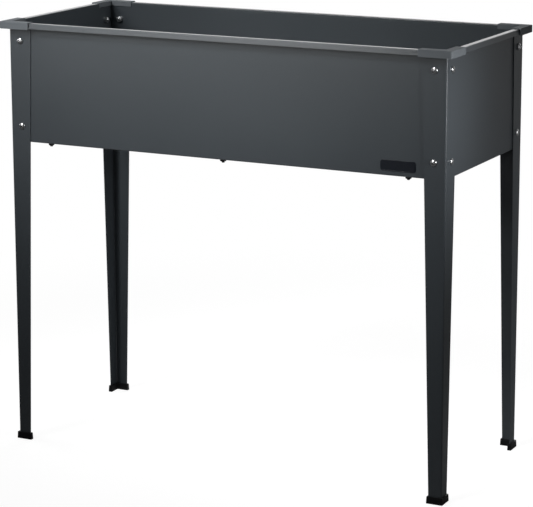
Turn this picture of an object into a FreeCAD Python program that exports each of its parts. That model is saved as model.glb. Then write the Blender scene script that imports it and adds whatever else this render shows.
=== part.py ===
"""Raised garden bed: a folded steel box on four tapered angle legs, bolted together.

Millimetres. X runs along the bed, the front faces -Y and Z is up from the ground under the bed's centre.
"""
import FreeCAD, Part
import math
import os

# Box of folded sheet
BED_LENGTH = 892.0          # over the rims of the two end walls
BED_WIDTH = 386.0           # over the rims of the two long walls
BED_HEIGHT = 798.4          # ground to the top of the rim
WALL_HEIGHT = 222.0         # top of the rim to the underside of the floor flange
WALL_SHEET = 0.8            # thickness of the wall sheets
WALL_BEND = 1.0             # inside radius of their folds
RIM_REACH = 13.0            # outer face of a wall to the outermost edge of its rim
RIM_DROP = 9.5              # height of the rim's turned-down lip
RIM_LEAN = 1.6              # how far the lip's lower edge stands outside its upper one
FLANGE_REACH = 30.0         # outer face of a wall to the inner edge of its floor flange
MITRE_GAP = 0.6             # between the rims, and between the flanges, at a corner
CORNER_CLEARANCE = 0.5      # end of a wall to the start of the leg's bend

# Floor sheet
FLOOR_SHEET = 0.8           # thickness
FLOOR_CLEARANCE = 0.5       # edge of the floor to the start of the wall's bend
FLOOR_CORNER = 4.0          # corner radius
GUTTER_COUNT = 3            # pressed cross gutters that stiffen and drain the floor
GUTTER_WIDTH = 24.0         # at the floor's upper face
GUTTER_DEPTH = 4.0
GUTTER_SLOPE = 3.0          # how far each side of a gutter leans in over its depth
GUTTER_MARGIN = 12.0        # end of a gutter to the floor flange
GUTTER_FROM_END = 145.0     # outermost gutter to the end wall's outer face
DRAIN_DIAMETER = 8.0
DRAIN_SPACING = 160.0       # between the two drain holes of a gutter

# Legs
LEG_SHEET = 1.5             # thickness of the leg angles
LEG_BEND = 1.5              # inside radius of the angle
LEG_TOP_WIDTH = 46.0        # width of each flange at the rim
LEG_FOOT_WIDTH = 24.5       # width of each flange at the foot
LEG_TOP_GAP = 0.5           # upper end of a leg to the rim's bend

# Feet
FOOT_HEIGHT = 13.0
FOOT_SOLE = 3.0             # thickness under the leg
FOOT_WALL = 2.2             # thickness beside the leg at the foot's upper edge
FOOT_FLARE = 0.6            # extra reach at the ground
FOOT_CLEARANCE = 0.3

# Corner caps
CAP_ARM = 62.0              # length of each arm from the outer corner
CAP_WALL = 1.6
CAP_CLEARANCE = 0.3
CAP_HANG = 2.0              # how far the outer skirt reaches below the rim
CAP_INNER_DROP = 8.0        # height of the inner skirt
CAP_CORNER = 3.0            # radius of the outer corner
CAP_EDGE = 0.8              # radius of the upper edges

# Bolts and nuts
BOLT_SIDES = 12             # bolts repeat so often that their round parts have few sides
BOLT_DIAMETER = 6.0
BOLT_HOLE = 6.6
BOLT_END = 2.5              # bolt beyond its nut
HEAD_DIAMETER = 12.0
HEAD_HEIGHT = 3.6
HEAD_BEVEL = 2.2            # sloping band around the top of the head
NUT_FLATS = 10.0
NUT_HEIGHT = 5.0
NUT_BORE = 6.3
BOLT_FROM_CORNER = 23.0     # leg's outer corner to each bolt
UPPER_BOLT_DROP = 34.5      # top of the rim to the upper bolts
LOWER_BOLT_RISE = 29.5      # underside of the walls to the lower bolts
FLOOR_BOLT_FROM_END = 74.0  # end wall's outer face to the outer floor bolts

# Places that follow from the sizes
WALL_X = BED_LENGTH / 2 - RIM_REACH             # outer faces of the end walls
WALL_Y = BED_WIDTH / 2 - RIM_REACH              # outer faces of the long walls
WALL_BOTTOM = BED_HEIGHT - WALL_HEIGHT
LEG_X = WALL_X + LEG_SHEET                      # outer faces of the legs
LEG_Y = WALL_Y + LEG_SHEET
LEG_TOP = BED_HEIGHT - WALL_SHEET - WALL_BEND - LEG_TOP_GAP
BOLT_HEIGHTS = (BED_HEIGHT - UPPER_BOLT_DROP, WALL_BOTTOM + LOWER_BOLT_RISE)
FLOOR_BOTTOM = WALL_BOTTOM + WALL_SHEET
FLOOR_TOP = FLOOR_BOTTOM + FLOOR_SHEET
FLOOR_BOLT_X = WALL_X - FLOOR_BOLT_FROM_END
FLOOR_BOLT_Y = WALL_Y - FLANGE_REACH / 2
LEG_GRIP = LEG_SHEET + WALL_SHEET               # sheets between head and nut
FLOOR_GRIP = FLOOR_SHEET + WALL_SHEET

X = FreeCAD.Vector(1, 0, 0)
Y = FreeCAD.Vector(0, 1, 0)
Z = FreeCAD.Vector(0, 0, 1)
PLAN = (X, Y)               # drawing planes: seen from above, along X and along Y
ALONG_X = (Y, Z)
ALONG_Y = (X, Z)


def rounded_wire(corners, plane=PLAN, height=0.0):
    """Closed outline through (u, v, radius) corners on a drawing plane, each radius a tangent arc."""
    points = [plane[0] * u + plane[1] * v + Z * height for u, v, radius in corners]
    stretches = []
    for index, point in enumerate(points):
        radius = corners[index][2]
        back = (points[index - 1] - point).normalize()
        ahead = (points[(index + 1) % len(points)] - point).normalize()
        if radius == 0:
            stretches.append((point, None, point))
            continue
        half_angle = back.getAngle(ahead) / 2
        reach = radius / math.tan(half_angle)
        middle = (back + ahead).normalize()
        crown = point + middle * (radius / math.sin(half_angle) - radius)
        stretches.append((point + back * reach, crown, point + ahead * reach))
    edges = []
    for index, (start, crown, end) in enumerate(stretches):
        if crown is not None:
            edges.append(Part.Arc(start, crown, end).toShape())
        edges.append(Part.makeLine(end, stretches[(index + 1) % len(stretches)][0]))
    return Part.Wire(edges)


def rounded_prism(corners, plane, along):
    """Straight solid on an outline of (u, v, radius) corners."""
    return Part.Face(rounded_wire(corners, plane)).extrude(along)


def ring_corners(diameter, sides):
    """Corners of a regular outline around the origin, from its diameter across the corners."""
    angles = [2 * math.pi * index / sides for index in range(sides)]
    return [(diameter / 2 * math.cos(angle), diameter / 2 * math.sin(angle), 0) for angle in angles]


def bolt_rod(diameter, length):
    """Round part of a bolt, or of the hole for one, along +Z from the origin."""
    return rounded_prism(ring_corners(diameter, BOLT_SIDES), PLAN, Z * length)


def angle_corners(width, thickness, bend=0.0, offset=0.0, outer_radius=None):
    """Corners of an L with its outer corner at the origin and equal arms, grown by offset on every side."""
    low = -offset
    inner = thickness + offset
    end = width + offset
    if outer_radius is None:
        outer_radius = bend + thickness + offset
    inner_radius = max(bend - offset, 0.0)
    return [
        (low, low, outer_radius),
        (end, low, 0),
        (end, inner, 0),
        (inner, inner, inner_radius),
        (inner, end, 0),
        (low, end, 0),
    ]


def stand(shape, point, direction):
    """Copy of a shape drawn along +Z that stands on a point along a direction."""
    placed = shape.copy()
    placed.Placement = FreeCAD.Placement(point, FreeCAD.Rotation(Z, direction)) * shape.Placement
    return placed


def drill_for_bolt(sheet, seat, direction, grip):
    """Cut the hole of a bolt whose head sits on a point and that goes through sheets of a total thickness."""
    return sheet.cut(stand(bolt_rod(BOLT_HOLE, 3 * grip), seat - direction * grip, direction))


def turned(shape, degrees, point=FreeCAD.Vector()):
    """Copy of a shape turned about the vertical through the origin, then moved."""
    copy = shape.copy()
    copy.rotate(FreeCAD.Vector(), Z, degrees)
    copy.translate(point)
    return copy


def make_wall(length, width):
    """One wall, drawn as the front one of a box with that length and width over its rims.

    Its folded section is run along the wall and trimmed to the plan: the rim and the floor flange end on mitres
    and the wall itself ends short of the leg's bend.
    """
    rim = -width / 2
    outer = rim + RIM_REACH
    inner = outer + WALL_SHEET
    edge = outer + FLANGE_REACH
    under_rim = BED_HEIGHT - WALL_SHEET
    lip = BED_HEIGHT - RIM_DROP
    lip_inside = rim + WALL_SHEET
    lip_slope = RIM_LEAN / RIM_DROP
    outside_bend = WALL_BEND + WALL_SHEET
    section = [
        (edge, WALL_BOTTOM, 0),
        (outer, WALL_BOTTOM, outside_bend),
        (outer, under_rim, WALL_BEND),
        (lip_inside + lip_slope * (under_rim - lip), under_rim, WALL_BEND),
        (lip_inside, lip, 0),
        (rim, lip, 0),
        (rim + RIM_LEAN, BED_HEIGHT, outside_bend),
        (inner, BED_HEIGHT, outside_bend),
        (inner, FLOOR_BOTTOM, WALL_BEND),
        (edge, FLOOR_BOTTOM, 0),
    ]
    folded = rounded_prism(section, ALONG_X, X * length)
    folded.translate(X * (-length / 2))

    mitre = MITRE_GAP / math.sqrt(2)
    rim_end = length / 2 - mitre
    corner = length / 2 - RIM_REACH
    wall_end = corner - LEG_BEND - CORNER_CLEARANCE
    half_plan = [
        (rim_end, rim),
        (rim_end - RIM_REACH, outer),
        (wall_end, outer),
        (wall_end, outer + corner - mitre - wall_end),
        (corner - mitre - FLANGE_REACH, edge),
    ]
    plan = [(x, y, 0) for x, y in half_plan] + [(-x, y, 0) for x, y in reversed(half_plan)]
    wall = folded.common(rounded_prism(plan, PLAN, Z * 2 * BED_HEIGHT))

    for point in wall_bolt_points(length, width):
        wall = drill_for_bolt(wall, point, Y, LEG_GRIP)
    return wall


def wall_bolt_points(length, width):
    """Seats of the leg bolts of a front wall, on the outer faces of its two legs."""
    x = length / 2 - RIM_REACH + LEG_SHEET - BOLT_FROM_CORNER
    y = -width / 2 + RIM_REACH - LEG_SHEET
    return [FreeCAD.Vector(side * x, y, z) for side in (-1, 1) for z in BOLT_HEIGHTS]


def floor_bolt_points():
    """Seats of the front floor bolts, on the upper face of the floor."""
    return [FreeCAD.Vector(x, -FLOOR_BOLT_Y, FLOOR_TOP) for x in (-FLOOR_BOLT_X, 0, FLOOR_BOLT_X)]


def make_floor():
    """Floor sheet on the flanges, with pressed gutters across it and drain holes in them."""
    half_length = WALL_X - WALL_SHEET - WALL_BEND - FLOOR_CLEARANCE
    half_width = WALL_Y - WALL_SHEET - WALL_BEND - FLOOR_CLEARANCE
    outline = [(sx * half_length, sy * half_width, FLOOR_CORNER) for sx, sy in ((-1, -1), (1, -1), (1, 1), (-1, 1))]
    floor = rounded_prism(outline, PLAN, Z * FLOOR_SHEET)
    floor.translate(Z * FLOOR_BOTTOM)

    gutter_half = WALL_Y - FLANGE_REACH - GUTTER_MARGIN
    first = GUTTER_FROM_END - WALL_X
    pitch = -2 * first / (GUTTER_COUNT - 1)
    gutter_bottom = FLOOR_BOTTOM - GUTTER_DEPTH
    for index in range(GUTTER_COUNT):
        x = first + index * pitch
        pressed = gutter_body(x, gutter_half, GUTTER_WIDTH / 2 + FLOOR_SHEET, FLOOR_BOTTOM, gutter_bottom)
        hollow = gutter_body(x, gutter_half, GUTTER_WIDTH / 2, FLOOR_TOP, gutter_bottom + FLOOR_SHEET)
        floor = floor.fuse(pressed).cut(hollow)
        for side in (-1, 1):
            drain = FreeCAD.Vector(x, side * DRAIN_SPACING / 2, gutter_bottom)
            floor = floor.cut(Part.makeCylinder(DRAIN_DIAMETER / 2, FLOOR_SHEET, drain))

    for point in floor_bolt_points():
        for seat in (point, turned_point(point, 180)):
            floor = drill_for_bolt(floor, seat, -Z, FLOOR_GRIP)
    return floor.removeSplitter()


def gutter_body(x, half_length, half_width, top, bottom):
    """Round-ended trough along Y that narrows by the gutter's slope from its top to its bottom."""
    rings = []
    for height, reach in ((top, half_width), (bottom, half_width - GUTTER_SLOPE)):
        end = half_length - half_width + reach
        ring = []
        for side in (1, -1):
            start = FreeCAD.Vector(x + side * reach, side * (end - reach), height)
            crown = FreeCAD.Vector(x, side * end, height)
            stop = FreeCAD.Vector(x - side * reach, side * (end - reach), height)
            ring.append(Part.Arc(start, crown, stop).toShape())
            ring.append(Part.makeLine(stop, stop - Y * (2 * side * (end - reach))))
        rings.append(Part.Wire(ring))
    return Part.makeLoft(rings, True, True)


def turned_point(point, degrees):
    """A point turned about the vertical through the origin."""
    return FreeCAD.Rotation(Z, degrees).multVec(point)


def make_leg():
    """Leg angle with its outer corner on the Z axis: an L section whose two flanges are cut to a taper."""
    length = LEG_TOP - FOOT_SOLE
    leg = rounded_prism(angle_corners(LEG_TOP_WIDTH, LEG_SHEET, LEG_BEND), PLAN, Z * length)
    leg.translate(Z * FOOT_SOLE)
    taper = [(0, FOOT_SOLE, 0), (LEG_FOOT_WIDTH, FOOT_SOLE, 0), (LEG_TOP_WIDTH, LEG_TOP, 0), (0, LEG_TOP, 0)]
    for plane, along in ((ALONG_Y, Y), (ALONG_X, X)):
        leg = leg.common(rounded_prism(taper, plane, along * LEG_TOP_WIDTH))
        for height in BOLT_HEIGHTS:
            leg = drill_for_bolt(leg, plane[0] * BOLT_FROM_CORNER + Z * height, along, LEG_GRIP)
    return leg


def make_foot():
    """Moulded shoe with the leg's lower end in its L-shaped pocket and a flare towards the ground."""
    slant = (LEG_TOP_WIDTH - LEG_FOOT_WIDTH) / (LEG_TOP - FOOT_SOLE)
    mouth = LEG_FOOT_WIDTH + slant * (FOOT_HEIGHT - FOOT_SOLE)
    upper = FOOT_CLEARANCE + FOOT_WALL
    rings = []
    for height, offset in ((0, upper + FOOT_FLARE), (FOOT_HEIGHT, upper)):
        rings.append(rounded_wire(angle_corners(mouth, LEG_SHEET, 0, offset, 0), PLAN, height))
    shoe = Part.makeLoft(rings, True, True)
    pocket = rounded_prism(angle_corners(mouth, LEG_SHEET, LEG_BEND, FOOT_CLEARANCE), PLAN, Z * FOOT_HEIGHT)
    pocket.translate(Z * FOOT_SOLE)
    return shoe.cut(pocket)


def make_cap():
    """Moulded clip over a corner of the rim, drawn with the rim's outer corner on the Z axis.

    Its L-shaped top rests on the rim, with a skirt outside the rim and a lower one inside the walls.
    """
    rim_width = RIM_REACH + WALL_SHEET
    grown = CAP_CLEARANCE + CAP_WALL
    top = BED_HEIGHT + CAP_WALL
    bottom = BED_HEIGHT - RIM_DROP - CAP_HANG
    outside = angle_corners(CAP_ARM - 2 * grown, rim_width, 0, grown, CAP_CORNER)
    cap = rounded_prism(outside, PLAN, Z * (top - bottom))
    channel = angle_corners(CAP_ARM, rim_width, 0, CAP_CLEARANCE, 0)
    cap = cap.cut(rounded_prism(channel, PLAN, Z * (BED_HEIGHT - bottom)))
    below_inner_skirt = Part.makeBox(CAP_ARM, CAP_ARM, BED_HEIGHT - CAP_INNER_DROP - bottom,
                                     FreeCAD.Vector(rim_width, rim_width, 0))
    cap = cap.cut(below_inner_skirt)
    upper_edges = [edge for edge in cap.Edges if edge.BoundBox.ZMin > top - bottom - CAP_EDGE]
    cap = cap.makeFillet(CAP_EDGE, upper_edges)
    cap.translate(Z * bottom)
    return cap


def make_bolt(grip):
    """Bolt along +Z with the seat of its domed head at the origin, for sheets of a total thickness."""
    head = bolt_rod(HEAD_DIAMETER, HEAD_HEIGHT)
    upper_edges = [edge for edge in head.Edges if edge.BoundBox.ZMin > HEAD_HEIGHT - HEAD_BEVEL]
    head = head.makeChamfer(HEAD_BEVEL, upper_edges)
    head = stand(head, FreeCAD.Vector(), -Z)
    return head.fuse(bolt_rod(BOLT_DIAMETER, grip + NUT_HEIGHT + BOLT_END))


def make_nut(grip):
    """Hex nut on the far face of sheets of a total thickness, on the axis of a bolt along +Z."""
    across_corners = 2 * NUT_FLATS / math.sqrt(3)
    nut = rounded_prism(ring_corners(across_corners, 6), PLAN, Z * NUT_HEIGHT)
    nut = nut.cut(bolt_rod(NUT_BORE, NUT_HEIGHT))
    nut.translate(Z * grip)
    return nut


def fasteners(points, direction, grip):
    """A group of bolts and a group of their nuts."""
    bolts = Part.makeCompound([stand(make_bolt(grip), point, direction) for point in points])
    nuts = Part.makeCompound([stand(make_nut(grip), point, direction) for point in points])
    return bolts, nuts


def make_bed():
    """Every piece of the bed in its place, by name."""
    pieces = {"floor_sheet": make_floor()}
    sides = (
        ("front", 0, BED_LENGTH, BED_WIDTH),
        ("right", 90, BED_WIDTH, BED_LENGTH),
        ("rear", 180, BED_LENGTH, BED_WIDTH),
        ("left", 270, BED_WIDTH, BED_LENGTH),
    )
    floor_bolts, floor_nuts = fasteners(floor_bolt_points(), -Z, FLOOR_GRIP)
    for side, degrees, length, width in sides:
        wall = make_wall(length, width)
        if side in ("front", "rear"):
            for point in floor_bolt_points():
                wall = drill_for_bolt(wall, point, -Z, FLOOR_GRIP)
            pieces[f"{side}_floor_bolts"] = turned(floor_bolts, degrees)
            pieces[f"{side}_floor_nuts"] = turned(floor_nuts, degrees)
        bolts, nuts = fasteners(wall_bolt_points(length, width), Y, LEG_GRIP)
        pieces[f"{side}_wall"] = turned(wall, degrees)
        pieces[f"{side}_wall_bolts"] = turned(bolts, degrees)
        pieces[f"{side}_wall_nuts"] = turned(nuts, degrees)

    corners = (
        ("front_left", 0, -1, -1),
        ("front_right", 90, 1, -1),
        ("rear_right", 180, 1, 1),
        ("rear_left", 270, -1, 1),
    )
    leg = make_leg()
    foot = make_foot()
    cap = make_cap()
    for corner, degrees, sx, sy in corners:
        leg_corner = FreeCAD.Vector(sx * LEG_X, sy * LEG_Y, 0)
        rim_corner = FreeCAD.Vector(sx * BED_LENGTH / 2, sy * BED_WIDTH / 2, 0)
        pieces[f"leg_{corner}"] = turned(leg, degrees, leg_corner)
        pieces[f"foot_{corner}"] = turned(foot, degrees, leg_corner)
        pieces[f"corner_cap_{corner}"] = turned(cap, degrees, rim_corner)
    return pieces


os.makedirs("parts", exist_ok=True)
for name, piece in make_bed().items():
    piece.exportStep(f"parts/{name}.step")
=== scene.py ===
"""Raised garden bed in powder coated sheet steel, dressed for the studio.

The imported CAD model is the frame. Its walls, floor, legs and corner caps stay and get their finishes here. The bolts,
nuts and feet are modelled again with threads, recesses and rounded edges, and a bare plate sits on the front wall.
"""

import math

import bmesh
import bpy
from bpy.props import FloatProperty, FloatVectorProperty, IntProperty, PointerProperty
from mathutils import Matrix, Vector


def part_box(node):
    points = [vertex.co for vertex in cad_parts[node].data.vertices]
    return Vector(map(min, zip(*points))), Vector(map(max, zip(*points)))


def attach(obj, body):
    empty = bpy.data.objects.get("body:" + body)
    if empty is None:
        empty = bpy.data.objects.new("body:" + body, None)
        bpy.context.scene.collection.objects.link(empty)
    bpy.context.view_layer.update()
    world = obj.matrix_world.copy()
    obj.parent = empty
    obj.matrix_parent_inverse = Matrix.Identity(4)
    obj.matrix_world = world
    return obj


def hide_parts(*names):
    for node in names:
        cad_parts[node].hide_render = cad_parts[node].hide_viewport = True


bl_info = {
    "name": "Raised garden bed",
    "version": (1, 0, 0),
    "blender": (4, 5, 0),
    "location": "View3D > Sidebar > Garden bed",
    "description": "Finishes, fasteners, feet and studio for a raised garden bed",
    "category": "Add Mesh",
}

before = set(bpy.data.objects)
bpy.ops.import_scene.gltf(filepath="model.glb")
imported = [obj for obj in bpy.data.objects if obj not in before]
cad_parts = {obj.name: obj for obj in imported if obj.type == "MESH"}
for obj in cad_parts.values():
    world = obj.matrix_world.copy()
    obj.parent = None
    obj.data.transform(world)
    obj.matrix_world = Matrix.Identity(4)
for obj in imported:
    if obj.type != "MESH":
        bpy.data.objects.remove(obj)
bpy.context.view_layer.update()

CORNERS = ("front_left", "front_right", "rear_right", "rear_left")
SHEETS = ["floor_sheet", "front_wall", "right_wall", "rear_wall", "left_wall"] + [f"leg_{c}" for c in CORNERS]
# Rows of bolts and the way in which their bolts point
WALL_BOLTS = {
    "front_wall": Vector((0, 1, 0)),
    "right_wall": Vector((-1, 0, 0)),
    "rear_wall": Vector((0, -1, 0)),
    "left_wall": Vector((1, 0, 0)),
}
FLOOR_BOLTS = {"front_floor": Vector((0, 0, -1)), "rear_floor": Vector((0, 0, -1))}
SPANNER_TURNS = (0.35, 1.22, 0.08, 0.94, 0.61, 1.47, 0.21, 0.79)  # angles at which bolts and nuts were left, in radians
UP = Vector((0, 0, 1))
WHITE = (1, 1, 1, 1)

# Limits of the modelling, lengths in metres
NEAR = 1e-6  # points closer than this are one point
ON_PLANE = 1e-7  # points closer than this to a cutting plane lie on it
OVERSHOOT = 0.001  # a cutter reaches this far past what it cuts
FLAT_ANGLE = 0.01  # faces that turn by less, in radians, are one face

# Sheets and feet
LEG_SHEET = 0.0015  # thickness of the legs
RUBBED_RIM = (0.796, 0.7982)  # heights between which the coat starts to be rubbed
SCUFFED_FOOT = (0.0, 0.006)  # heights between which the scuffs of the feet fade
DUST = (0.07, 0.066, 0.06)
FOOT_SHARP = math.radians(40)  # edges of a foot that turn by more are rounded
FOOT_EDGE_STEPS = 3

# Bolts
DOME_STEPS = 9
HEAD_BRIM = 0.0009  # upright edge under the dome
HEAD_UNDERSIDE = ((0.0, -0.0003), (-0.0002, -0.00004), (-0.0006, 0.0))  # rounded lower edge, outwards and up
RECESS_TAPER = 0.55  # width at the foot of the recess, as a share of its mouth
THREAD_DEPTH = 0.54  # as a share of the pitch
THREAD_SHAPE = ((0, 0.0), (0, 0.12), (1, 0.44), (1, 0.56), (0, 0.88), (0, 1.0))  # root 0 or crest 1, share of the pitch
THREAD_STEPS = 24  # in one turn
THREAD_LEAD = 3  # turns that start before the seat and are cut off
THREAD_SPARE = 2  # turns past the tip that are cut off
THREAD_SUNK = 0.0004  # length inside the head
TIP_HEIGHT = 0.0006  # tapered end
TIP_TAPER = 0.8

# Nuts
NUT_FACE = 0.95  # diameter of the flat face, as a share of the width across flats
NUT_CHAMFER = math.radians(30)
NUT_ROOM = 0.0002  # the chamfering barrel stands out this far from the corners
BORE_ROOM = 0.00005  # room round the thread
MOUTH_ROOM = 0.0004  # room round the thread at the mouth of the countersink
COUNTERSINK = 0.00035  # depth

# Front plate
PLATE_CORNER_STEPS = 6
PLATE_FRAME = 0.0009  # width of the raised edge
PLATE_SLOPE = 0.0003  # width of the step inside it
PLATE_SUNK = 0.0002  # depth of the step
PLATE_ROUND = 0.00018  # radius of the edges
PLATE_ROUND_STEPS = 2
PLATE_SHARP = math.radians(50)

# Studio
SENSOR_WIDTH = 36.0  # in millimetres
FLOOR_RADIUS = 14.0
FLOOR_STEPS = 96
FLOOR_DROP = 0.0002  # the floor lies this far under the soles
FLOOR_LIFTED = (0.6, 1.7)  # distances from the bed between which the floor turns plain white for the camera
BACKDROP_WAY = (-0.43, 0.9, 0.0)  # from the bed towards the backdrop
BACKDROP_EDGE = (0.62, 0.9)  # cosines between which the backdrop fades in
# Place, point aimed at, width and height, and spread of the beam in degrees
LAMPS = {
    "key": ((-1.0, -2.2, 1.6), (-0.2, -0.19, 0.80), (1.0, 0.7), 22),
    "high": ((-0.9, -1.9, 2.0), (-0.16, -0.19, 0.76), (0.6, 0.4), 26),
    "steep": ((-0.5, -1.4, 2.3), (-0.04, -0.19, 0.74), (1.2, 0.4), 30),
    "low": ((-1.0, -2.2, 0.74), (-0.1, -0.19, 0.77), (1.2, 0.24), 24),
    "side": ((1.0, -0.24, 0.74), (0.43, -0.19, 0.68), (0.2, 0.3), 50),
    "tall": ((1.0, 0.3, 0.36), (0.43, 0.17, 0.30), (0.25, 0.7), 70),
    "back": ((-0.9, 2.0, 1.5), (0.0, 0.0, 0.8), (1.6, 1.0), 120),
    "left": ((-2.2, 0.2, 1.0), (-0.45, 0.0, 0.5), (1.0, 1.0), 60),
    "rear": ((-0.5, 2.4, 0.52), (0.0, 0.19, 0.52), (1.2, 0.45), 50),
    "inner": ((0.9, 0.2, 1.9), (-0.43, 0.0, 0.75), (0.5, 0.5), 22),
}


class FinishSettings(bpy.types.PropertyGroup):
    """Colours and gloss of the bed's surfaces"""

    coat_colour: FloatVectorProperty(
        name="Powder coat", description="Colour of the walls, floor and legs", subtype="COLOR", size=3, min=0, max=1,
        default=(0.051, 0.060, 0.068),
    )
    coat_roughness: FloatProperty(
        name="Coat roughness", description="Middle roughness of the powder coat", subtype="FACTOR", min=0, max=1,
        default=0.32,
    )
    cap_colour: FloatVectorProperty(
        name="Corner caps", description="Colour of the moulded corner caps", subtype="COLOR", size=3, min=0, max=1,
        default=(0.137, 0.152, 0.165),
    )
    foot_colour: FloatVectorProperty(
        name="Feet", description="Colour of the moulded feet", subtype="COLOR", size=3, min=0, max=1,
        default=(0.0040, 0.0045, 0.0055),
    )
    zinc_colour: FloatVectorProperty(
        name="Zinc plate", description="Colour of the walls' bolts and nuts", subtype="COLOR", size=3, min=0, max=1,
        default=(0.66, 0.67, 0.68),
    )
    # painted shade: the floor's bolts and nuts get a near-black colour for the shadow under the floor
    shade_black_colour: FloatVectorProperty(
        name="Black steel", description="Colour of the floor's bolts and nuts", subtype="COLOR", size=3, min=0, max=1,
        default=(0.020, 0.021, 0.022),
    )
    plate_colour: FloatVectorProperty(
        name="Front plate", description="Colour of the bare plate", subtype="COLOR", size=3, min=0, max=1,
        default=(0.004, 0.006, 0.011),
    )


class FastenerSettings(bpy.types.PropertyGroup):
    """Sizes of the bolts and nuts"""

    thread_diameter: FloatProperty(
        name="Thread", description="Outer diameter of the thread", unit="LENGTH", min=0.003, default=0.0059
    )
    thread_pitch: FloatProperty(
        name="Pitch", description="Rise of the thread in one turn", unit="LENGTH", min=0.0005, default=0.001
    )
    head_diameter: FloatProperty(
        name="Head", description="Diameter of the domed head", unit="LENGTH", min=0.006, default=0.012
    )
    head_height: FloatProperty(
        name="Head height", description="Height of the domed head", unit="LENGTH", min=0.001, default=0.0036
    )
    recess_span: FloatProperty(
        name="Recess", description="Width of the cross recess over its arms", unit="LENGTH", min=0.002, default=0.0064
    )
    recess_slot: FloatProperty(
        name="Recess slot", description="Width of one arm of the cross recess", unit="LENGTH", min=0.0005,
        default=0.0013,
    )
    recess_depth: FloatProperty(
        name="Recess depth", description="Depth of the cross recess", unit="LENGTH", min=0.0005, default=0.0023
    )
    nut_flats: FloatProperty(
        name="Nut", description="Width of the nut across its flats", unit="LENGTH", min=0.005, default=0.01
    )
    nut_height: FloatProperty(
        name="Nut height", description="Height of the nut", unit="LENGTH", min=0.002, default=0.005
    )
    round_steps: IntProperty(
        name="Round steps", description="Steps in a full turn of the round forms", min=16, max=96, default=40
    )


class FootSettings(bpy.types.PropertyGroup):
    """Sizes of the moulded feet"""

    flare: FloatProperty(
        name="Flare", description="How far the sole stands out beyond the upper edge", unit="LENGTH", min=0,
        default=0.0006,
    )
    wall: FloatProperty(
        name="Wall", description="Thickness of the foot round the leg", unit="LENGTH", min=0.001, default=0.0022
    )
    clearance: FloatProperty(
        name="Clearance", description="Room left round the leg", unit="LENGTH", min=0, default=0.0003
    )
    sole: FloatProperty(
        name="Sole", description="Thickness under the leg", unit="LENGTH", min=0.001, default=0.003
    )
    edge: FloatProperty(
        name="Edge", description="Radius of the rounded edges", unit="LENGTH", min=0.0001, default=0.0006
    )


class PlateSettings(bpy.types.PropertyGroup):
    """Size and place of the bare plate on the front wall"""

    size: FloatVectorProperty(
        name="Size", description="Width, thickness and height", unit="LENGTH", size=3, default=(0.066, 0.0009, 0.019)
    )
    place: FloatVectorProperty(
        name="Place", description="Middle of the plate along the wall and above the ground", unit="LENGTH", size=2,
        default=(0.346, 0.5945),
    )
    corner: FloatProperty(
        name="Corner", description="Radius of the plate's corners", unit="LENGTH", min=0.0005, default=0.0045
    )


class StageSettings(bpy.types.PropertyGroup):
    """Camera, lamps and floor"""

    camera_place: FloatVectorProperty(
        name="Camera", description="Where the camera stands", subtype="TRANSLATION", size=3,
        default=(1.8150, -3.5814, 1.3114),
    )
    camera_turn: FloatVectorProperty(
        name="Camera turn", description="Turn to the left, tilt down and roll of the camera", subtype="EULER", size=3,
        default=(0.44782, 0.2018, 0.0018),
    )
    lens: FloatProperty(name="Lens", description="Focal length", unit="CAMERA", min=10, default=149.2)
    shift: FloatVectorProperty(
        name="Shift", description="Shift of the frame to the side and up", size=2, default=(-0.0836, -0.1207)
    )
    floor_colour: FloatVectorProperty(
        name="Floor", description="Colour of the floor", subtype="COLOR", size=3, min=0, max=1,
        default=(0.35, 0.35, 0.35),
    )
    floor_lift: FloatProperty(
        name="Floor lift", description="How far the floor near the bed is lifted to white for the camera",
        subtype="FACTOR", min=0, max=1, default=0.90,
    )
    ambient: FloatProperty(name="Ambient", description="Even light from all round", min=0, default=0.10)
    backdrop: FloatProperty(
        name="Backdrop", description="Level of the white backdrop behind the bed in reflections", min=0, default=0.95
    )
    room: FloatProperty(
        name="Room", description="Level of the rest of the studio in reflections", min=0, default=0.12
    )
    key: FloatProperty(
        name="Key lamp", description="Soft lamp at the front left", unit="POWER", min=0, default=0.80
    )
    high: FloatProperty(
        name="High lamp", description="Soft lamp high at the front left", unit="POWER", min=0, default=0.50
    )
    steep: FloatProperty(
        name="Steep lamp", description="Soft lamp high in front of the bed", unit="POWER", min=0, default=1.15
    )
    low: FloatProperty(
        name="Low lamp", description="Long lamp a little below the rim", unit="POWER", min=0, default=0.145
    )
    side: FloatProperty(
        name="Side lamp", description="Small lamp on the right wall", unit="POWER", min=0, default=0.40
    )
    tall: FloatProperty(
        name="Tall lamp", description="Tall soft lamp along the right legs", unit="POWER", min=0, default=0.28
    )
    back: FloatProperty(
        name="Back lamp", description="Broad lamp behind the bed that draws the rim", unit="POWER", min=0, default=2.1
    )
    left: FloatProperty(
        name="Left lamp", description="Soft lamp on the left wall", unit="POWER", min=0, default=1.8
    )
    rear: FloatProperty(
        name="Rear lamp", description="Soft lamp on the rear wall", unit="POWER", min=0, default=1.6
    )
    inner: FloatProperty(
        name="Inner lamp", description="Small lamp on the inside of the left wall", unit="POWER", min=0, default=0.27
    )


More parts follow.
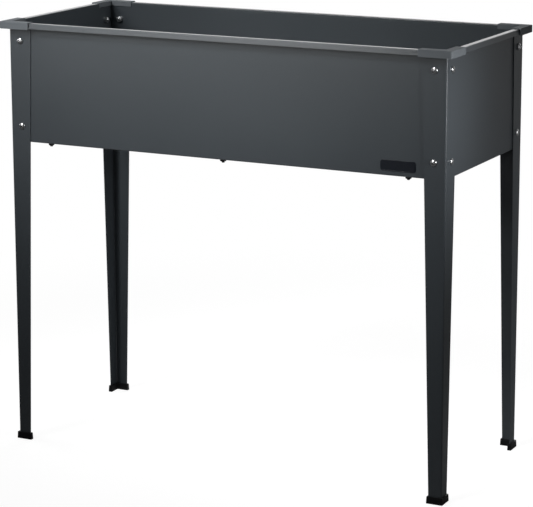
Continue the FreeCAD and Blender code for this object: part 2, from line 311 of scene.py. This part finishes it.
class Value:
    """A socket of a node tree that Python's operators work on."""

    def __init__(self, nodes, socket):
        self.nodes = nodes
        self.socket = socket

    def math(self, operation, *values):
        return self.nodes.add("ShaderNodeMath", {"operation": operation}, dict(enumerate(values)))

    def __add__(self, other):
        return self.math("ADD", self, other)

    def __sub__(self, other):
        return self.math("SUBTRACT", self, other)

    def __rsub__(self, other):
        return self.math("SUBTRACT", other, self)

    def __mul__(self, other):
        return self.math("MULTIPLY", self, other)

    def __truediv__(self, other):
        return self.math("DIVIDE", self, other)

    __radd__ = __add__
    __rmul__ = __mul__

    def between(self, low, high):
        """0 below low, 1 above high and a smooth rise in between."""
        return self.nodes.add(
            "ShaderNodeMapRange", {"interpolation_type": "SMOOTHSTEP"},
            {"Value": self, "From Min": low, "From Max": high, "To Min": 0.0, "To Max": 1.0},
        )

    def clamped(self):
        return self.nodes.add("ShaderNodeClamp", {}, {"Value": self})


class Nodes:
    """A node tree that is filled one node at a time."""

    def __init__(self, tree):
        self.tree = tree
        tree.nodes.clear()

    def add(self, kind, settings, sockets, output=0):
        """A node of a kind with its settings, and the values or links of its sockets. Gives one of its outputs."""
        node = self.tree.nodes.new(kind)
        for name, value in settings.items():
            setattr(node, name, value)
        for name, value in sockets.items():
            if isinstance(value, Value):
                self.tree.links.new(value.socket, node.inputs[name])
            else:
                node.inputs[name].default_value = value
        return Value(self, node.outputs[output]) if node.outputs else None

    def place(self):
        """Object coordinates, in metres in the bed's frame."""
        return self.add("ShaderNodeTexCoord", {}, {}, "Object")

    def noise(self, place, scale, detail, roughness=0.5):
        """Noise with a number of lumps in a metre."""
        return self.add(
            "ShaderNodeTexNoise", {}, {"Vector": place, "Scale": scale, "Detail": detail, "Roughness": roughness}
        )

    def stretched(self, place, scale):
        """A place whose axes are scaled, so that a pattern gets longer along the smaller ones."""
        return self.add("ShaderNodeMapping", {"vector_type": "POINT"}, {"Vector": place, "Scale": scale})

    def part(self, place, axis):
        """One of a place's X, Y and Z."""
        return self.add("ShaderNodeSeparateXYZ", {}, {"Vector": place}, axis)

    def blend(self, share, first, second):
        """From the first colour to the second."""
        return self.add("ShaderNodeMix", {"data_type": "RGBA"}, {0: share, 6: first, 7: second}, 2)

    def bump(self, height, distance):
        return self.add("ShaderNodeBump", {}, {"Height": height, "Strength": 1.0, "Distance": distance})

    def surface(self, colour, roughness, normal, metallic=0.0, specular=0.5):
        """The shader of a finish."""
        return self.add(
            "ShaderNodeBsdfPrincipled", {},
            {
                "Base Color": colour, "Roughness": roughness, "Normal": normal, "Metallic": metallic,
                "Specular IOR Level": specular,
            },
        )


def tone(colour, level):
    """A colour for a socket, made lighter or darker by a level."""
    return (colour[0] * level, colour[1] * level, colour[2] * level, 1.0)


def finish_of(name, build):
    """A new material whose surface is the shader that build makes from its nodes."""
    material = bpy.data.materials.new(name)
    material.use_nodes = True
    nodes = Nodes(material.node_tree)
    nodes.add("ShaderNodeOutputMaterial", {}, {"Surface": build(nodes)})
    return material


def dress(piece, material):
    """Puts one finish over a whole piece."""
    piece.data.materials.clear()
    piece.data.materials.append(material)


def powder_coat(settings):
    """Baked powder coat: an orange peel skin with fine specks, a little rubbed along the rim."""

    def build(nodes):
        place = nodes.place()
        height = nodes.part(place, "Z")
        cloud = nodes.noise(place, 5.0, 3.0)
        peel = nodes.noise(place, 620.0, 1.0)
        speck = nodes.noise(place, 2400.0, 1.0)
        scuff = nodes.noise(nodes.stretched(place, (9.0, 9.0, 60.0)), 3.0, 6.0, 0.62)
        rim = height.between(*RUBBED_RIM) * scuff.between(0.5, 0.68)
        even = nodes.blend(cloud, tone(settings.coat_colour, 0.93), tone(settings.coat_colour, 1.07))
        specked = nodes.blend(speck.between(0.52, 0.72) * 0.35, even, tone(settings.coat_colour, 1.7))
        colour = nodes.blend(rim * 0.25, specked, tone(settings.coat_colour, 2.2))
        roughness = settings.coat_roughness + (cloud - 0.5) * 0.10 + (speck - 0.5) * 0.12 - rim * 0.06
        skin = peel * 0.8 + speck * 0.2
        return nodes.surface(colour, roughness, nodes.bump(skin, 0.00003))

    return finish_of("powder_coat", build)


def cap_plastic(settings):
    """Matt moulded plastic with a spark eroded grain and faint flow marks."""

    def build(nodes):
        place = nodes.place()
        grain = nodes.noise(place, 1500.0, 3.0, 0.6)
        flow = nodes.noise(nodes.stretched(place, (1.0, 1.0, 4.0)), 45.0, 4.0, 0.6)
        even = nodes.blend(flow, tone(settings.cap_colour, 0.92), tone(settings.cap_colour, 1.08))
        colour = nodes.blend(grain.between(0.55, 0.75) * 0.3, even, tone(settings.cap_colour, 1.5))
        roughness = 0.72 + (grain - 0.5) * 0.2 + (flow - 0.5) * 0.1
        return nodes.surface(colour, roughness, nodes.bump(grain, 0.00005), specular=0.3)

    return finish_of("cap_plastic", build)


def foot_plastic(settings):
    """Black moulded plastic, scuffed and dusty just above the ground."""

    def build(nodes):
        place = nodes.place()
        height = nodes.part(place, "Z")
        grain = nodes.noise(place, 1300.0, 3.0, 0.6)
        rub = nodes.noise(nodes.stretched(place, (1.0, 1.0, 5.0)), 160.0, 5.0, 0.65)
        worn = (1 - height.between(*SCUFFED_FOOT)) * rub.between(0.5, 0.7)
        even = nodes.blend(rub, tone(settings.foot_colour, 0.8), tone(settings.foot_colour, 1.25))
        colour = nodes.blend(worn * 0.5, even, tone(DUST, 1.0))
        roughness = 0.52 + (grain - 0.5) * 0.2 + worn * 0.25
        return nodes.surface(colour, roughness, nodes.bump(grain, 0.00005), specular=0.25)

    return finish_of("foot_plastic", build)


def zinc_plate(settings):
    """Bright zinc with the blotches of the bath and a finely drawn skin."""

    def build(nodes):
        place = nodes.place()
        blotch = nodes.noise(place, 260.0, 4.0, 0.6)
        drawn = nodes.noise(place, 3200.0, 2.0)
        bright, dull = tone(settings.zinc_colour, 1.12), tone(settings.zinc_colour, 0.78)
        colour = nodes.blend(blotch.between(0.35, 0.7), bright, dull)
        roughness = 0.2 + blotch * 0.16 + (drawn - 0.5) * 0.1
        return nodes.surface(colour, roughness, nodes.bump(drawn, 0.000012), metallic=1.0)

    return finish_of("zinc_plate", build)


def black_steel(settings):
    """Near-black steel, a little browned in patches; its dark colour is painted shade for the shadow under the floor.
    """

    def build(nodes):
        place = nodes.place()
        patch = nodes.noise(place, 420.0, 4.0, 0.6)
        drawn = nodes.noise(place, 3200.0, 2.0)
        warm = tone((1.25 * settings.shade_black_colour[0], *settings.shade_black_colour[1:]), 0.8)
        colour = nodes.blend(patch.between(0.4, 0.7), tone(settings.shade_black_colour, 1.1), warm)
        roughness = 0.42 + (patch - 0.5) * 0.2 + (drawn - 0.5) * 0.1
        return nodes.surface(colour, roughness, nodes.bump(drawn, 0.000012), metallic=0.85)

    return finish_of("black_steel", build)


def plate_lacquer(settings):
    """Dark lacquer over metal brushed along its length."""

    def build(nodes):
        place = nodes.place()
        brushed = nodes.noise(nodes.stretched(place, (30.0, 400.0, 2600.0)), 1.0, 3.0, 0.6)
        cloud = nodes.noise(place, 90.0, 3.0)
        even = nodes.blend(brushed, tone(settings.plate_colour, 0.7), tone(settings.plate_colour, 1.4))
        colour = nodes.blend(cloud * 0.25, even, tone(settings.plate_colour, 1.8))
        roughness = 0.38 + (brushed - 0.5) * 0.18 + (cloud - 0.5) * 0.08
        return nodes.surface(colour, roughness, nodes.bump(brushed, 0.00001), specular=0.3)

    return finish_of("plate_lacquer", build)


def alone(piece):
    """Selects one piece and makes it the active one."""
    bpy.ops.object.select_all(action="DESELECT")
    piece.select_set(True)
    bpy.context.view_layer.objects.active = piece


def edit(piece):
    """Opens one piece in edit mode."""
    alone(piece)
    bpy.ops.object.mode_set(mode="EDIT")


def close():
    """Goes back to object mode."""
    bpy.ops.object.mode_set(mode="OBJECT")


def pick(piece, kind, wanted):
    """Selects the vertices, edges or faces whose middle and direction are wanted: a normal, or the run of an edge."""
    bpy.ops.mesh.select_mode(type=kind)
    bpy.ops.mesh.select_all(action="DESELECT")
    mesh = bmesh.from_edit_mesh(piece.data)
    mesh.normal_update()
    found = False
    for item in {"VERT": mesh.verts, "EDGE": mesh.edges, "FACE": mesh.faces}[kind]:
        if kind == "VERT":
            middle, normal = item.co, item.normal
        elif kind == "EDGE":
            middle = (item.verts[0].co + item.verts[1].co) / 2
            normal = (item.verts[1].co - item.verts[0].co).normalized()
        else:
            middle, normal = item.calc_center_median(), item.normal
        if wanted(middle, normal):
            item.select_set(True)
            found = True
    mesh.select_flush_mode()
    bmesh.update_edit_mesh(piece.data)
    if not found:
        raise RuntimeError(f"{piece.name}: nothing to shape was found")


def push(x=0.0, y=0.0, z=0.0):
    """Extrudes the selected faces by a step."""
    bpy.ops.mesh.extrude_region_move(TRANSFORM_OT_translate={"value": (x, y, z)})


def block(name, low, high):
    """A box between two corners, the start of a piece."""
    bpy.ops.object.select_all(action="DESELECT")
    low, high = Vector(low), Vector(high)
    bpy.ops.mesh.primitive_cube_add(size=1.0, location=(low + high) / 2, scale=high - low)
    bpy.ops.object.transform_apply(location=True, rotation=True, scale=True)
    piece = bpy.context.object
    piece.name = name
    return piece


def outline(name, points):
    """A line of radius and height pairs, drawn from one corner to the next. It stays open in edit mode."""
    bpy.ops.object.select_all(action="DESELECT")
    bpy.ops.mesh.primitive_plane_add()
    piece = bpy.context.object
    piece.name = name
    bpy.ops.object.mode_set(mode="EDIT")
    bpy.ops.mesh.select_mode(type="VERT")
    bpy.ops.mesh.select_all(action="SELECT")
    bpy.ops.mesh.merge(type="CENTER")
    bpy.ops.transform.translate(value=(points[0][0], 0.0, points[0][1]))
    for last, point in zip(points, points[1:]):
        step = (point[0] - last[0], 0.0, point[1] - last[1])
        bpy.ops.mesh.extrude_vertices_move(TRANSFORM_OT_translate={"value": step})
    return piece


def turned(name, points, steps):
    """A closed round form, turned from its outline about the upright axis."""
    piece = outline(name, points)
    bpy.ops.mesh.select_all(action="SELECT")
    bpy.ops.mesh.spin(steps=steps, angle=math.tau, center=(0, 0, 0), axis=(0, 0, 1))
    tidy()
    close()
    return piece


def tidy():
    """Closes seams and poles and turns all faces outwards."""
    bpy.ops.mesh.select_all(action="SELECT")
    bpy.ops.mesh.remove_doubles(threshold=NEAR)
    bpy.ops.mesh.normals_make_consistent(inside=False)


def combine(piece, other, operation):
    """Cuts or trims a piece with another, which is used up."""
    alone(piece)
    modifier = piece.modifiers.new(operation, "BOOLEAN")
    modifier.operation = operation
    modifier.solver = "EXACT"
    modifier.object = other
    bpy.ops.object.modifier_apply(modifier=modifier.name)
    bpy.data.objects.remove(other)


def rounded(piece, width, segments, angle):
    """Rounds the sharp edges of a piece."""
    alone(piece)
    modifier = piece.modifiers.new("rounded", "BEVEL")
    modifier.width = width
    modifier.segments = segments
    modifier.limit_method = "ANGLE"
    modifier.angle_limit = angle
    bpy.ops.object.modifier_apply(modifier=modifier.name)


def smooth(piece, angle=math.radians(32)):
    """Shades a piece smooth, apart from the edges that turn by more than an angle."""
    alone(piece)
    bpy.ops.object.shade_smooth_by_angle(angle=angle)


def copies(pattern, matrices):
    """Copies of a pattern, each with its own mesh and with its place in that mesh."""
    made = []
    for matrix in matrices:
        alone(pattern)
        bpy.ops.object.duplicate(linked=False)
        piece = bpy.context.object
        piece.matrix_world = matrix
        bpy.ops.object.transform_apply(location=True, rotation=True, scale=True)
        made.append(piece)
    return made


def joined(name, pieces):
    """Several copies as one piece."""
    bpy.ops.object.select_all(action="DESELECT")
    for piece in pieces:
        piece.select_set(True)
    bpy.context.view_layer.objects.active = pieces[0]
    bpy.ops.object.join()
    pieces[0].name = name
    return pieces[0]


def bolt_seats(side, along, settings):
    """Where the heads of one row of bolts sit on the sheet, read from the CAD bolts' box."""
    low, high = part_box(f"{side}_bolts")
    radius = settings.head_diameter / 2
    stops = []
    for axis in range(3):
        if along[axis] > 0:
            stops.append([low[axis] + settings.head_height])
        elif along[axis] < 0:
            stops.append([high[axis] - settings.head_height])
        elif high[axis] - low[axis] < 3 * radius:
            stops.append([(low[axis] + high[axis]) / 2])
        elif along.z:
            stops.append([low[axis] + radius, (low[axis] + high[axis]) / 2, high[axis] - radius])
        else:
            stops.append([low[axis] + radius, high[axis] - radius])
    return [Vector((x, y, z)) for x in stops[0] for y in stops[1] for z in stops[2]]


def bolt_matrices(side, along, settings, first_turn):
    """Places for bolts or nuts that point along a direction, each tightened to its own angle."""
    lean = UP.rotation_difference(along).to_matrix().to_4x4()
    return [
        Matrix.Translation(seat) @ lean @ Matrix.Rotation(SPANNER_TURNS[(first_turn + i) % len(SPANNER_TURNS)], 4, "Z")
        for i, seat in enumerate(bolt_seats(side, along, settings))
    ]


def cross_recess(settings):
    """The cutter for the cross recess in a bolt's head, narrowing inwards."""
    slot = settings.recess_slot / 2
    reach = (settings.recess_span - settings.recess_slot) / 2
    top, foot = -settings.head_height - OVERSHOOT, -settings.head_height + settings.recess_depth
    cutter = block("recess", (-slot, -slot, top), (slot, slot, foot))
    edit(cutter)
    for x, y in ((1, 0), (-1, 0), (0, 1), (0, -1)):
        pick(
            cutter, "FACE",
            lambda c, n: n.x * x + n.y * y > 0.9 and c.x * x + c.y * y < slot + NEAR
            and abs(c.x * y) + abs(c.y * x) < NEAR,
        )
        push(x * reach, y * reach)
    pick(cutter, "VERT", lambda c, n: c.z > foot - NEAR)
    bpy.ops.transform.resize(value=(RECESS_TAPER, RECESS_TAPER, 1.0), center_override=(0, 0, foot))
    tidy()
    close()
    return cutter


def model_bolt(length, settings):
    """A bolt along +Z with its seat at the origin: domed head with a cross recess, and a real thread."""
    radius, height = settings.head_diameter / 2, settings.head_height
    dome = [
        (radius * math.sin(t), -(HEAD_BRIM + (height - HEAD_BRIM) * math.cos(t)))
        for t in [math.pi / 2 * i / DOME_STEPS for i in range(DOME_STEPS + 1)]
    ]
    underside = [(radius + out, up) for out, up in HEAD_UNDERSIDE]
    head = turned("bolt_head", [*dome, *underside, (0.0, 0.0)], settings.round_steps)
    combine(head, cross_recess(settings), "DIFFERENCE")

    crest, pitch = settings.thread_diameter / 2, settings.thread_pitch
    root = crest - THREAD_DEPTH * pitch
    rise = [(crest if high else root, (share - THREAD_LEAD) * pitch) for high, share in THREAD_SHAPE]
    thread = outline("bolt_thread", rise)
    close()
    modifier = thread.modifiers.new("thread", "SCREW")
    modifier.axis = "Z"
    modifier.angle = math.tau
    modifier.screw_offset = pitch
    modifier.iterations = math.ceil(length / pitch) + THREAD_LEAD + THREAD_SPARE
    modifier.steps = modifier.render_steps = THREAD_STEPS
    modifier.use_merge_vertices = True
    modifier.merge_threshold = NEAR
    bpy.ops.object.modifier_apply(modifier=modifier.name)
    edit(thread)
    tidy()
    for level, up in ((-THREAD_SUNK, -1), (length - TIP_HEIGHT, 1)):
        bpy.ops.mesh.select_all(action="SELECT")
        bpy.ops.mesh.bisect(
            plane_co=(0, 0, level), plane_no=(0, 0, up), use_fill=True, clear_inner=False, clear_outer=True,
            threshold=ON_PLANE,
        )
    pick(thread, "FACE", lambda c, n: abs(n.z) > 0.99 and c.z > length - TIP_HEIGHT - NEAR)
    push(z=TIP_HEIGHT)
    bpy.ops.transform.resize(value=(TIP_TAPER, TIP_TAPER, 1.0), center_override=(0, 0, length))
    tidy()
    close()
    bolt = joined("bolt", [head, thread])
    smooth(bolt)
    return bolt


def model_nut(grip, settings):
    """A hex nut on +Z that starts where the grip of the sheets ends: chamfered corners and a countersunk bore."""
    flats, height, steps = settings.nut_flats / 2, settings.nut_height, settings.round_steps
    end = grip + height
    corner = flats / math.cos(math.pi / 6)
    face, side = flats * NUT_FACE, corner + NUT_ROOM
    slope = (side - face) * math.tan(NUT_CHAMFER)
    bpy.ops.object.select_all(action="DESELECT")
    bpy.ops.mesh.primitive_cylinder_add(
        vertices=6, radius=corner, depth=height, location=(0, 0, grip + height / 2), rotation=(0, 0, math.pi / 6)
    )
    bpy.ops.object.transform_apply(location=True, rotation=True, scale=True)
    nut = bpy.context.object
    barrel = turned(
        "nut_barrel",
        [(0, grip), (face, grip), (side, grip + slope), (side, end - slope), (face, end), (0, end)],
        steps,
    )
    combine(nut, barrel, "INTERSECT")
    bore, mouth = settings.thread_diameter / 2 + BORE_ROOM, settings.thread_diameter / 2 + MOUTH_ROOM
    drill = turned(
        "nut_drill",
        [
            (0, grip - OVERSHOOT), (mouth, grip - OVERSHOOT), (mouth, grip), (bore, grip + COUNTERSINK),
            (bore, end - COUNTERSINK), (mouth, end), (mouth, end + OVERSHOOT), (0, end + OVERSHOOT),
        ],
        steps,
    )
    combine(nut, drill, "DIFFERENCE")
    edit(nut)
    tidy()
    close()
    smooth(nut)
    return nut


def model_foot(length, height, thick, settings):
    """A foot with its outer corner at the origin and its arms along +X and +Y, flared and hollow for the leg."""
    bpy.ops.object.select_all(action="DESELECT")
    bpy.ops.mesh.primitive_plane_add(size=thick, location=(thick / 2, thick / 2, 0))
    bpy.ops.object.transform_apply(location=True, rotation=True, scale=True)
    foot = bpy.context.object
    edit(foot)
    arm = length - thick
    pick(foot, "EDGE", lambda c, n: c.x > thick - NEAR)
    bpy.ops.mesh.extrude_edges_move(TRANSFORM_OT_translate={"value": (arm, 0, 0)})
    pick(foot, "EDGE", lambda c, n: c.y > thick - NEAR and c.x < thick)
    bpy.ops.mesh.extrude_edges_move(TRANSFORM_OT_translate={"value": (0, arm, 0)})
    tidy()
    bpy.ops.mesh.dissolve_limited(angle_limit=FLAT_ANGLE)
    pick(foot, "FACE", lambda c, n: True)
    bpy.ops.mesh.normals_make_consistent(inside=False)
    if bmesh.from_edit_mesh(foot.data).faces[:][0].normal.z < 0:
        bpy.ops.mesh.flip_normals()
    bpy.ops.mesh.inset(thickness=settings.flare, depth=height, use_even_offset=True)
    bpy.ops.mesh.inset(thickness=settings.wall, depth=0.0, use_even_offset=True)
    push(z=settings.sole - height)
    pick(foot, "EDGE", lambda c, n: c.z < NEAR and abs(n.z) < 0.1)
    bpy.ops.mesh.edge_face_add()
    tidy()
    close()
    rounded(foot, settings.edge, FOOT_EDGE_STEPS, FOOT_SHARP)
    smooth(foot, FOOT_SHARP)
    return foot


class GARDENBED_OT_sheets(bpy.types.Operator):
    """Powder coat the walls, the floor and the legs"""

    bl_idname = "garden_bed.sheets"
    bl_label = "Sheet steel"

    def execute(self, context):
        material = powder_coat(context.scene.bed_finish)
        for name in SHEETS:
            dress(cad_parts[name], material)
        return {"FINISHED"}


class GARDENBED_OT_caps(bpy.types.Operator):
    """Finish the moulded corner caps"""

    bl_idname = "garden_bed.caps"
    bl_label = "Corner caps"

    def execute(self, context):
        material = cap_plastic(context.scene.bed_finish)
        for corner in CORNERS:
            dress(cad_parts[f"corner_cap_{corner}"], material)
        return {"FINISHED"}


class GARDENBED_OT_feet(bpy.types.Operator):
    """Model the moulded feet with rounded edges"""

    bl_idname = "garden_bed.feet"
    bl_label = "Feet"

    def execute(self, context):
        settings = context.scene.bed_foot
        low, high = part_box("foot_front_left")
        thick = LEG_SHEET + 2 * (settings.clearance + settings.wall + settings.flare)
        pattern = model_foot(high.x - low.x, high.z - low.z, thick, settings)
        dress(pattern, foot_plastic(context.scene.bed_finish))
        places = []
        for turn, corner in enumerate(CORNERS):
            low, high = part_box(f"foot_{corner}")
            x = high.x if "right" in corner else low.x
            y = high.y if "rear" in corner else low.y
            places.append(Matrix.Translation((x, y, low.z)) @ Matrix.Rotation(turn * math.pi / 2, 4, "Z"))
        for corner, foot in zip(CORNERS, copies(pattern, places)):
            foot.name = f"shoe_{corner}"
            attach(foot, "root")
            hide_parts(f"foot_{corner}")
        bpy.data.objects.remove(pattern)
        return {"FINISHED"}


class GARDENBED_OT_bolts(bpy.types.Operator):
    """Model the bolts with domed heads and threads"""

    bl_idname = "garden_bed.bolts"
    bl_label = "Bolts"

    def execute(self, context):
        settings = context.scene.bed_fastener
        # the floor's bolts take black_steel, whose near-black colour is painted shade for the shadow under the floor
        for sides, slot, finish in ((WALL_BOLTS, "zinc_plate", zinc_plate), (FLOOR_BOLTS, "black_steel", black_steel)):
            material = finish(context.scene.bed_finish)
            side, along = next(iter(sides.items()))
            low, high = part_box(f"{side}_bolts")
            axis = max(range(3), key=lambda i: abs(along[i]))
            pattern = model_bolt(high[axis] - low[axis] - settings.head_height, settings)
            dress(pattern, material)
            for turn, (side, along) in enumerate(sides.items()):
                bolts = joined(f"{side}_screws", copies(pattern, bolt_matrices(side, along, settings, 3 * turn)))
                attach(bolts, "root")
                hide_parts(f"{side}_bolts")
            bpy.data.objects.remove(pattern)
        return {"FINISHED"}


class GARDENBED_OT_nuts(bpy.types.Operator):
    """Model the hex nuts with chamfered corners"""

    bl_idname = "garden_bed.nuts"
    bl_label = "Nuts"

    def execute(self, context):
        settings = context.scene.bed_fastener
        # the floor's nuts take black_steel, whose near-black colour is painted shade for the shadow under the floor
        for sides, slot in ((WALL_BOLTS, "zinc_plate"), (FLOOR_BOLTS, "black_steel")):
            side, along = next(iter(sides.items()))
            axis = max(range(3), key=lambda i: abs(along[i]))
            seat = bolt_seats(side, along, settings)[0][axis]
            low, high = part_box(f"{side}_nuts")
            grip = low[axis] - seat if along[axis] > 0 else seat - high[axis]
            pattern = model_nut(grip, settings)
            dress(pattern, bpy.data.materials[slot])
            for turn, (side, along) in enumerate(sides.items()):
                nuts = joined(f"{side}_hex_nuts", copies(pattern, bolt_matrices(side, along, settings, 3 * turn + 5)))
                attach(nuts, "root")
                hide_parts(f"{side}_nuts")
            bpy.data.objects.remove(pattern)
        return {"FINISHED"}


class GARDENBED_OT_plate(bpy.types.Operator):
    """Model the bare plate on the front wall"""

    bl_idname = "garden_bed.plate"
    bl_label = "Front plate"

    def execute(self, context):
        settings = context.scene.bed_plate
        wide, thick, tall = settings.size
        x, z = settings.place
        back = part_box("leg_front_left")[0].y + LEG_SHEET
        plate = block("front_plate", (x - wide / 2, back - thick, z - tall / 2), (x + wide / 2, back, z + tall / 2))
        edit(plate)
        pick(plate, "EDGE", lambda c, n: abs(n.y) > 0.9)
        bpy.ops.mesh.bevel(offset=settings.corner, segments=PLATE_CORNER_STEPS, affect="EDGES")
        pick(plate, "FACE", lambda c, n: n.y < -0.9)
        bpy.ops.mesh.inset(thickness=PLATE_FRAME, depth=0.0)
        bpy.ops.mesh.inset(thickness=PLATE_SLOPE, depth=-PLATE_SUNK)
        tidy()
        close()
        rounded(plate, PLATE_ROUND, PLATE_ROUND_STEPS, PLATE_SHARP)
        smooth(plate)
        dress(plate, plate_lacquer(context.scene.bed_finish))
        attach(plate, "root")
        return {"FINISHED"}


class GARDENBED_OT_stage(bpy.types.Operator):
    """Set the floor, the lamps and the camera"""

    bl_idname = "garden_bed.stage"
    bl_label = "Studio"

    def execute(self, context):
        settings = context.scene.bed_stage
        self.floor(settings)
        self.surround(context.scene, settings)
        for name, (place, aim, size, spread) in LAMPS.items():
            self.lamp(name, place, aim, size, spread, getattr(settings, name))
        self.camera(context.scene, settings)
        context.scene.view_settings.view_transform = "Standard"
        return {"FINISHED"}

    def floor(self, settings):
        """A plain pale floor that the camera and the backdrop's reflections see as white paper."""
        bpy.ops.object.select_all(action="DESELECT")
        bpy.ops.mesh.primitive_circle_add(
            vertices=FLOOR_STEPS, radius=FLOOR_RADIUS, fill_type="NGON", location=(0, 0, -FLOOR_DROP)
        )
        bpy.ops.object.transform_apply(location=True, rotation=True, scale=True)
        floor = bpy.context.object
        floor.name = "studio_floor"

        def build(nodes):
            place = nodes.place()
            away = nodes.add("ShaderNodeVectorMath", {"operation": "LENGTH"}, {0: place}, "Value")
            camera, glossy, through = self.rays(nodes)
            backdrop = (self.behind(nodes, place) / away).between(*BACKDROP_EDGE)
            seen = (camera + through + glossy * backdrop).clamped()
            paper = nodes.noise(place, 300.0, 2.0)
            colour = nodes.blend(paper, tone(settings.floor_colour, 0.97), tone(settings.floor_colour, 1.03))
            plain = nodes.add("ShaderNodeBsdfDiffuse", {}, {"Color": colour})
            white = nodes.add("ShaderNodeEmission", {}, {"Color": WHITE, "Strength": 1.0})
            lift = nodes.add("ShaderNodeEmission", {}, {"Color": WHITE, "Strength": settings.floor_lift})
            lifted = nodes.add("ShaderNodeAddShader", {}, {0: plain, 1: lift})
            near = nodes.add("ShaderNodeMixShader", {}, {0: away.between(*FLOOR_LIFTED), 1: lifted, 2: white})
            return nodes.add("ShaderNodeMixShader", {}, {0: seen, 1: plain, 2: near})

        dress(floor, finish_of("studio_paper", build))

    def rays(self, nodes):
        """Rays from the camera, rays that a shiny surface sends on and rays that glass lets through."""
        path = nodes.add("ShaderNodeLightPath", {}, {}).socket.node
        return [Value(nodes, path.outputs[f"Is {kind} Ray"]) for kind in ("Camera", "Glossy", "Transmission")]

    def behind(self, nodes, way):
        """How far a place or a direction lies towards the backdrop."""
        return nodes.add("ShaderNodeVectorMath", {"operation": "DOT_PRODUCT"}, {0: way, 1: BACKDROP_WAY}, "Value")

    def surround(self, scene, settings):
        """The studio all round: white for the camera, a white backdrop in a dim room for what mirrors it."""
        world = bpy.data.worlds.new("studio_surround")
        world.use_nodes = True
        scene.world = world
        nodes = Nodes(world.node_tree)
        camera, glossy, through = self.rays(nodes)
        way = nodes.add("ShaderNodeTexCoord", {}, {}, "Generated")
        backdrop = self.behind(nodes, way).between(*BACKDROP_EDGE)
        mirrored = settings.room + backdrop * (settings.backdrop - settings.room)
        seen = (camera + through).clamped()
        level = seen + glossy * mirrored + (1 - (seen + glossy).clamped()) * settings.ambient
        shader = nodes.add("ShaderNodeBackground", {}, {"Color": WHITE, "Strength": level})
        nodes.add("ShaderNodeOutputWorld", {}, {"Surface": shader})

    def lamp(self, name, place, aim, size, spread, power):
        """One soft lamp, turned towards the point that it is aimed at."""
        bpy.ops.object.select_all(action="DESELECT")
        bpy.ops.object.light_add(type="AREA", location=place)
        lamp = bpy.context.object
        lamp.name = f"{name}_lamp"
        lamp.rotation_euler = (Vector(aim) - Vector(place)).to_track_quat("-Z", "Y").to_euler()
        lamp.data.shape = "RECTANGLE"
        lamp.data.size, lamp.data.size_y = size
        lamp.data.energy = power
        lamp.data.spread = math.radians(spread)

    def camera(self, scene, settings):
        """The camera at the photograph's angle."""
        bpy.ops.object.select_all(action="DESELECT")
        bpy.ops.object.camera_add(location=settings.camera_place)
        camera = bpy.context.object
        turn, tilt, roll = settings.camera_turn
        camera.rotation_euler = (
            Matrix.Rotation(turn, 3, "Z") @ Matrix.Rotation(math.pi / 2 - tilt, 3, "X") @ Matrix.Rotation(roll, 3, "Z")
        ).to_euler()
        camera.data.sensor_width = SENSOR_WIDTH
        camera.data.lens = settings.lens
        camera.data.shift_x, camera.data.shift_y = settings.shift
        scene.camera = camera


class GARDENBED_PT_panel(bpy.types.Panel):
    """The bed's settings and the steps that build it"""

    bl_idname = "GARDENBED_PT_panel"
    bl_label = "Garden bed"
    bl_space_type = "VIEW_3D"
    bl_region_type = "UI"
    bl_category = "Garden bed"

    def draw(self, context):
        for group in SETTINGS:
            box = self.layout.box()
            settings = getattr(context.scene, group)
            for name in settings.__annotations__:
                box.prop(settings, name)
        for step in STEPS:
            self.layout.operator(step.bl_idname)


SETTINGS = {
    "bed_finish": FinishSettings,
    "bed_fastener": FastenerSettings,
    "bed_foot": FootSettings,
    "bed_plate": PlateSettings,
    "bed_stage": StageSettings,
}
STEPS = (
    GARDENBED_OT_sheets,
    GARDENBED_OT_caps,
    GARDENBED_OT_feet,
    GARDENBED_OT_bolts,
    GARDENBED_OT_nuts,
    GARDENBED_OT_plate,
    GARDENBED_OT_stage,
)


def register():
    for group, settings in SETTINGS.items():
        bpy.utils.register_class(settings)
        setattr(bpy.types.Scene, group, PointerProperty(type=settings))
    for kind in (*STEPS, GARDENBED_PT_panel):
        bpy.utils.register_class(kind)


def unregister():
    for kind in reversed((*STEPS, GARDENBED_PT_panel)):
        bpy.utils.unregister_class(kind)
    for group, settings in reversed(SETTINGS.items()):
        delattr(bpy.types.Scene, group)
        bpy.utils.unregister_class(settings)


def main():
    register()
    bpy.ops.garden_bed.sheets()
    bpy.ops.garden_bed.caps()
    bpy.ops.garden_bed.feet()
    bpy.ops.garden_bed.bolts()
    bpy.ops.garden_bed.nuts()
    bpy.ops.garden_bed.plate()
    bpy.ops.garden_bed.stage()


if __name__ == "__main__":
    main()
